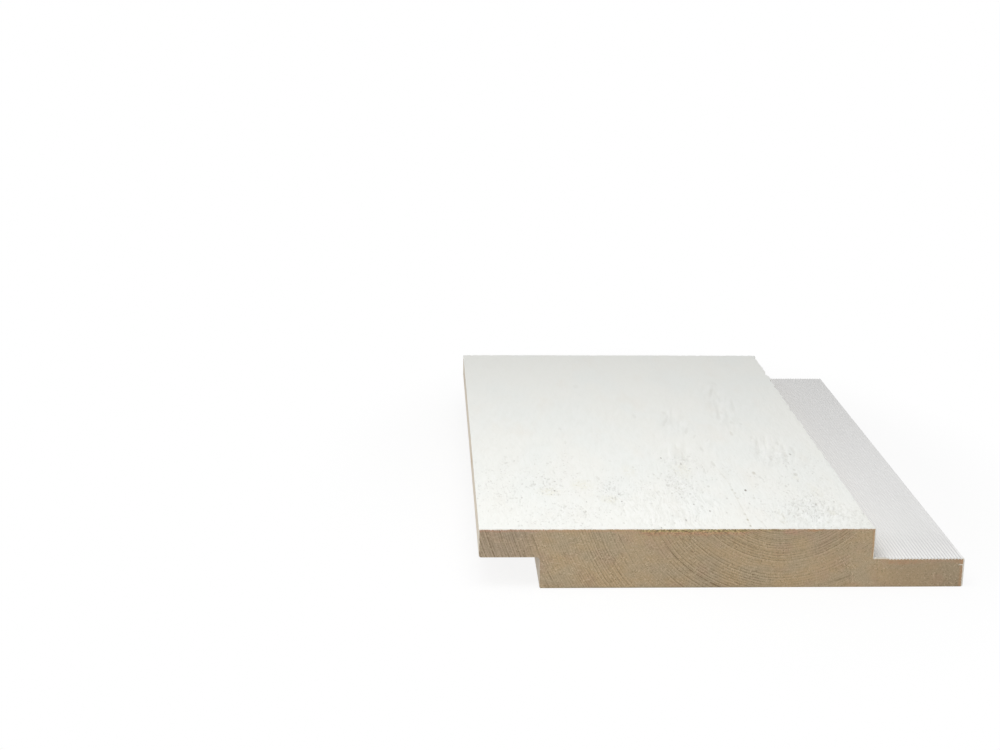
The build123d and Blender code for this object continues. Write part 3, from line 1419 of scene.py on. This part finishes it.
@dataclass
class CladdingBoard:
    """The board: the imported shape, cut fine, roughened and dressed.

    Args:
        section: The board's section.
        columns: Into how many columns the face is cut, step by step.
        rows: Into how many rows the board's length is cut, step by step.
        smooth_angle: Faces that meet flatter than this are shaded as one.
        arris_wander: How far the step's upper arris strays from its line.
        chip_depth: How deep the face's end edges are chipped.
        piece: The board's object, once its shape is copied.
    """

    section: Section
    columns: tuple[int, ...] = (80, 3)
    rows: tuple[int, ...] = (100, 2)
    smooth_angle: float = math.radians(32)
    arris_wander: float = 1.15 * MM
    chip_depth: float = 0.30 * MM
    piece: bpy.types.Object | None = None

    def build(self) -> bpy.types.Object:
        """Makes the whole piece.

        Returns:
            The finished piece.
        """
        self.copy_shape()
        self.lay_out_map()
        self.share_out_surfaces()
        self.cut_fine()
        self.roughen()
        self.hand_over()
        return self.piece

    def copy_shape(self) -> None:
        """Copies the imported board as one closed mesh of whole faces."""
        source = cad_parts[NODE]
        self.piece = bpy.data.objects.new("primed_board", source.data.copy())
        bpy.context.scene.collection.objects.link(self.piece)
        self.piece.data.materials.clear()
        Bench.take(self.piece)
        bpy.ops.object.mode_set(mode="EDIT")
        bpy.ops.mesh.select_all(action="SELECT")
        bpy.ops.mesh.remove_doubles(threshold=0.001 * MM)
        bpy.ops.mesh.customdata_custom_splitnormals_clear()
        bpy.ops.mesh.dissolve_limited(angle_limit=math.radians(0.5))
        bpy.ops.object.mode_set(mode="OBJECT")

    def surface_of(self, face: bpy.types.MeshPolygon) -> Surface:
        """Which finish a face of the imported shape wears.

        Args:
            face: The face.

        Returns:
            Its surface.
        """
        s, centre, normal = self.section, face.center, face.normal
        if abs(normal.y) > 0.9 or (normal.z < -0.9 and centre.z < s.low.z + 0.5 * MM):
            return Surface.BARE_WOOD
        if normal.z > 0.2 and centre.z > s.high.z - 1 * MM:
            return Surface.SAWN_FACE
        if normal.z > 0.2 and centre.x > s.step:
            return Surface.RIBBED_LIP
        return Surface.PLANED_EDGE

    def share_out_surfaces(self) -> None:
        """Gives each face its finish's slot."""
        finishes = {
            Surface.SAWN_FACE: SawnPrimer(),
            Surface.RIBBED_LIP: RibbedPrimer(self.section),
            Surface.PLANED_EDGE: EdgePrimer(self.section),
            Surface.BARE_WOOD: BareSoftwood(self.section),
        }
        Bench.take(self.piece)
        for surface in Surface:
            self.piece.data.materials.append(finishes[surface].material())
        for surface in Surface:
            Bench.pick_faces(self.piece, lambda face: self.surface_of(face) is surface)
            self.piece.active_material_index = surface.value
            bpy.ops.object.mode_set(mode="EDIT")
            bpy.ops.mesh.select_mode(type="FACE")
            bpy.ops.object.material_slot_assign()
            bpy.ops.object.mode_set(mode="OBJECT")

    def patch_of(self, face: bpy.types.MeshPolygon) -> MapPatch:
        """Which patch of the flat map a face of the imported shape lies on.

        Args:
            face: The face.

        Returns:
            Its patch.
        """
        s, centre, normal = self.section, face.center, face.normal
        if abs(normal.y) > 0.9:
            bottom = 790.0 if normal.y < 0 else 902.0
            return MapPatch(0, s.low.x, 5.5, 4.0, 2, s.low.z, 5.5, bottom)
        if normal.z > 0.5 and centre.x < s.step:
            return MapPatch(0, s.low.x, 4.4, 4.0)
        if normal.z > 0.5 or (abs(normal.x) < 0.99 and s.step < centre.x and centre.z > 8 * MM):
            return MapPatch(0, s.step, 3.0, 538.0)
        if normal.z < -0.5 and centre.z > s.low.z + 2 * MM:
            return MapPatch(0, s.low.x, 1.4, 756.0)
        if normal.z < -0.5:
            return MapPatch(0, s.back_edge, 1.78, 788.0)
        if normal.x > 0 and centre.x < s.step + 1 * MM:
            return MapPatch(2, s.lip_top, 3.1, 628.0)
        if normal.x > 0:
            return MapPatch(2, s.low.z, 3.1, 700.0)
        if centre.x < s.low.x + 1 * MM:
            return MapPatch(2, s.underside, 3.1, 665.0)
        return MapPatch(2, s.low.z, 1.3, 737.0)

    def lay_out_map(self) -> None:
        """Lays the faces out flat while they are few, with most room for the face."""
        layers = self.piece.data.uv_layers
        while layers:
            layers.remove(layers[0])
        layer = layers.new(name="OFBake")
        for face in self.piece.data.polygons:
            patch = self.patch_of(face)
            for loop in face.loop_indices:
                vertex = self.piece.data.loops[loop].vertex_index
                layer.data[loop].uv = patch.spot(self.piece.data.vertices[vertex].co)

    def cut_fine(self) -> None:
        """Cuts the face into columns and the whole board into rows."""
        top = self.section.high.z - 0.01 * MM

        def across_face(a: Vector, b: Vector) -> bool:
            """A long edge on the face that runs across the board."""
            level = a.z > top and b.z > top and abs(a.y - b.y) < 0.01 * MM
            return level and abs(a.x - b.x) > 0.3 * MM

        def along_board(a: Vector, b: Vector) -> bool:
            """An edge that runs along the board."""
            return abs(a.y - b.y) > 0.5 * MM

        Bench.take(self.piece)
        Bench.cut_edges(self.piece, across_face, self.columns)
        Bench.cut_edges(self.piece, along_board, self.rows)

    def roughen(self) -> None:
        """Presses the saw's marks into the face, and wears its edges, as wear says."""
        tree = bpy.data.node_groups.new("sawn_relief", "GeometryNodeTree")
        for way in ("INPUT", "OUTPUT"):
            tree.interface.new_socket("Mesh", in_out=way, socket_type="NodeSocketGeometry")
        graph = Graph(tree)
        mesh = graph.node("NodeGroupInput").outputs[0]
        place = graph.value("GeometryNodeInputPosition")
        inputs = {"Geometry": mesh, "Offset": self.wear(place)}
        moved = graph.node("GeometryNodeSetPosition", None, inputs)
        graph.node("NodeGroupOutput", None, {0: moved.outputs[0]})
        Bench.take(self.piece)
        bpy.ops.object.modifier_add(type="NODES")
        modifier = self.piece.modifiers[-1]
        modifier.node_group = tree
        bpy.ops.object.modifier_apply(modifier=modifier.name)

    def wear(self, place: Value) -> Value:
        """How far each point of the board moves.

        Args:
            place: The place on the board.

        Returns:
            The move, in metres. It is zero away from the face, the step and the first ribs.
        """
        s = self.section
        x, y, z = place.split()
        on_top = z.ramp(s.high.z - 0.35 * MM, s.high.z - 0.02 * MM)
        depth = SawnFace().depth(place)

        # The end edges of the face are chipped
        chips = place.noise((0.9, 30, 0), 2.0, 0.6, 110.0)
        where = place.noise((9, 40, 0), 1.0, 0.5, 113.0)
        much = where.ramp(0.40, 0.65) * 0.4 + x.band(30 * MM, 16 * MM, 8 * MM) * 0.35 + 0.25
        at_end = y.size().ramp(s.high.y - 1.2 * MM, s.high.y)
        chipped = chips.ramp(0.46, 0.70) * much * at_end * self.chip_depth

        # The step's upper arris wanders inwards
        stray = joined(0.0, y).noise((0, 10, 0), 3.0, 0.6, 120.0)
        near_step = x.ramp(s.step - 4 * MM, s.step - 0.3 * MM)
        near_step = near_step * x.ramp(s.step + 0.05 * MM, s.step + 0.02 * MM)
        above_lip = z.ramp(s.lip_top + 2 * MM, s.high.z - 1 * MM)
        away = y.size().ramp(s.high.y, s.high.y - 5 * MM)
        far = y.ramp(-70 * MM, 20 * MM) * 0.6 + 0.4
        inward = stray.ramp(0.35, 0.70) * near_step * above_lip * away * far * self.arris_wander

        # A bead of primer fills the first grooves at the cut ends
        wood = BareSoftwood(s)
        on_ribs = z.ramp(s.lip_top - 0.5 * MM, s.lip_top - 0.4 * MM)
        on_ribs = on_ribs * z.ramp(s.lip_top + 0.4 * MM, s.lip_top + 0.3 * MM)
        at_cut = y.size().ramp(s.high.y - 0.6 * MM, s.high.y - 0.1 * MM)
        bead = (s.lip_top + wood.bead_height - z) * wood.beaded(x) * on_ribs * at_cut
        return joined(-inward, 0.0, bead - (depth + chipped) * on_top)

    def soften_ribs(self) -> None:
        """Lets the primer round the ribs: their long edges are shaded soft."""
        s, mesh = self.section, self.piece.data
        Bench.drop_all(mesh)
        for edge in mesh.edges:
            ends = [mesh.vertices[i].co for i in edge.vertices]
            along = abs(ends[0].y - ends[1].y) > 0.5 * MM
            inside = s.step + 0.1 * MM < ends[0].x < s.high.x - 0.1 * MM
            if along and inside and ends[0].z > s.lip_top - 0.5 * MM:
                edge.select = True
        bpy.ops.object.mode_set(mode="EDIT")
        bpy.ops.mesh.select_mode(type="EDGE")
        bpy.ops.mesh.mark_sharp(clear=True)
        bpy.ops.object.mode_set(mode="OBJECT")

    def hand_over(self) -> None:
        """Shades the piece and hands it to the frame."""
        Bench.take(self.piece)
        bpy.ops.object.shade_smooth_by_angle(angle=self.smooth_angle)
        self.soften_ribs()
        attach(self.piece, BODY)
        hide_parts(NODE)


@dataclass(frozen=True)
class PhotoCamera:
    """The camera, where the photograph was taken from.

    Args:
        place: Its place.
        yaw: How far it is turned towards the lip, in degrees.
        pitch: How far it looks down.
        roll: How far it leans.
        focal_pixels: The focal length in pixels of the picture.
        picture_width: The picture's width in pixels.
        sensor_width: The width of the sensor, in millimetres.
    """

    place: Vector = Vector((-91.6 * MM, -591.7 * MM, 205.5 * MM))
    yaw: float = 2.708
    pitch: float = 15.722
    roll: float = 0.814
    focal_pixels: float = 1753.6
    picture_width: int = 1000
    sensor_width: float = 36.0

    def set_up(self) -> None:
        """Makes the scene's camera."""
        data = bpy.data.cameras.new("photo_camera")
        data.sensor_width = self.sensor_width
        data.lens = self.focal_pixels * self.sensor_width / self.picture_width
        data.clip_start, data.clip_end = 0.01, 50.0
        camera = bpy.data.objects.new("photo_camera", data)
        bpy.context.scene.collection.objects.link(camera)
        turn = Matrix.Rotation(-math.radians(self.yaw), 4, "Z")
        tilt = Matrix.Rotation(math.radians(90 - self.pitch), 4, "X")
        lean = Matrix.Rotation(math.radians(self.roll), 4, "Z")
        camera.matrix_world = Matrix.Translation(self.place) @ turn @ tilt @ lean
        bpy.context.scene.camera = camera


@dataclass(frozen=True)
class SoftLamp:
    """A square soft lamp.

    Args:
        name: Its name.
        place: Its place.
        aim: The point that it faces.
        width: The length of its sides.
        power: Its power in watts.
    """

    name: str
    place: Vector
    aim: Vector
    width: float
    power: float

    def hang(self) -> None:
        """Makes the lamp."""
        data = bpy.data.lights.new(self.name, "AREA")
        data.size, data.energy = self.width, self.power
        lamp = bpy.data.objects.new(self.name, data)
        bpy.context.scene.collection.objects.link(lamp)
        lamp.location = self.place
        lamp.rotation_mode = "QUATERNION"
        lamp.rotation_quaternion = (self.aim - self.place).to_track_quat("-Z", "Y")
        lamp.visible_camera = False


@dataclass(frozen=True)
class Studio:
    """The pale floor, the white surroundings and the soft light.

    Args:
        section: The board's section, for the floor's height.
        floor_width: The length of the floor's sides.
        ambient: The strength of the light from all round.
        floor_grey: How much light the floor sends back.
        near_glow: How much of the floor's white is its own, beside the board.
        lamps: The soft lamps.
    """

    section: Section
    floor_width: float = 12.0
    ambient: float = 0.40
    floor_grey: float = 0.75
    near_glow: float = 0.86
    lamps: tuple[SoftLamp, ...] = (
        SoftLamp("key_lamp", Vector((-0.08, -0.16, 0.34)), Vector((-0.06, -0.13, 0)), 0.26, 0.78),
        SoftLamp("fill_lamp", Vector((0.10, 0.20, 0.34)), Vector((0.05, -0.05, 0)), 0.26, 0.105),
        SoftLamp("side_lamp", Vector((-0.55, -0.15, 0.15)), Vector((-0.06, -0.04, 0)), 0.20, 0.42),
    )

    def set_up(self) -> None:
        """Makes the floor, the world and the lamps."""
        bpy.context.scene.view_settings.view_transform = "Standard"
        self.lay_floor()
        self.surround()
        for lamp in self.lamps:
            lamp.hang()

    @staticmethod
    def seen_directly(graph: Graph) -> Value:
        """Tells what is looked at from what only gives light.

        Args:
            graph: The graph to build in.

        Returns:
            1 for what the camera, a reflection or a clear body shows, and 0 for light.
        """
        paths = graph.node("ShaderNodeLightPath")
        names = ("Is Camera Ray", "Is Glossy Ray", "Is Transmission Ray")
        rays = [Value(graph, paths.outputs[name]) for name in names]
        return rays[0].most(rays[1]).most(rays[2])

    def lay_floor(self) -> None:
        """Makes the floor just under the board."""
        height = self.section.low.z - 0.05 * MM
        bpy.ops.mesh.primitive_plane_add(size=self.floor_width, location=(0, 0, height))
        floor = bpy.context.active_object
        floor.name = "pale_floor"
        material = bpy.data.materials.new("pale_floor")
        material.use_nodes = True
        graph = Graph(material.node_tree)
        place = graph.value("ShaderNodeTexCoord", None, None, "Object")
        away = place.ellipse((0.0, 0.0), (self.section.high.x, self.section.high.y))
        seen = self.seen_directly(graph)
        grey = seen * (1 - self.floor_grey) + self.floor_grey
        lit = graph.node("ShaderNodeBsdfDiffuse", None, {"Color": joined(grey, grey, grey)})
        glow = graph.node("ShaderNodeEmission", None, {"Strength": 1.0})
        share = seen * (away.ramp(1.15, 1.9) * (1 - self.near_glow) + self.near_glow)
        inputs = {0: share, 1: lit.outputs[0], 2: glow.outputs[0]}
        surface = graph.node("ShaderNodeMixShader", None, inputs)
        graph.node("ShaderNodeOutputMaterial", None, {"Surface": surface.outputs[0]})
        floor.data.materials.append(material)

    def surround(self) -> None:
        """Makes the world white to the eye and softer as a light."""
        world = bpy.data.worlds.new("white_surroundings")
        world.use_nodes = True
        bpy.context.scene.world = world
        graph = Graph(world.node_tree)
        seen = self.seen_directly(graph)
        strength = seen * (1 - self.ambient) + self.ambient
        inputs = {"Color": (1.0, 1.0, 1.0, 1.0), "Strength": strength}
        sky = graph.node("ShaderNodeBackground", None, inputs)
        graph.node("ShaderNodeOutputWorld", None, {"Surface": sky.outputs[0]})


def main() -> None:
    """Builds the board and its studio."""
    logging.basicConfig(level=logging.INFO)
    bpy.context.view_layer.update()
    section = Section(*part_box(NODE))
    PhotoCamera().set_up()
    log.info("camera set up")
    board = CladdingBoard(section).build()
    triangles = sum(len(face.vertices) - 2 for face in board.data.polygons)
    log.info("%s: %d triangles", board.name, triangles)
    Studio(section).set_up()
    log.info("studio set up")


if __name__ == "__main__":
    main()
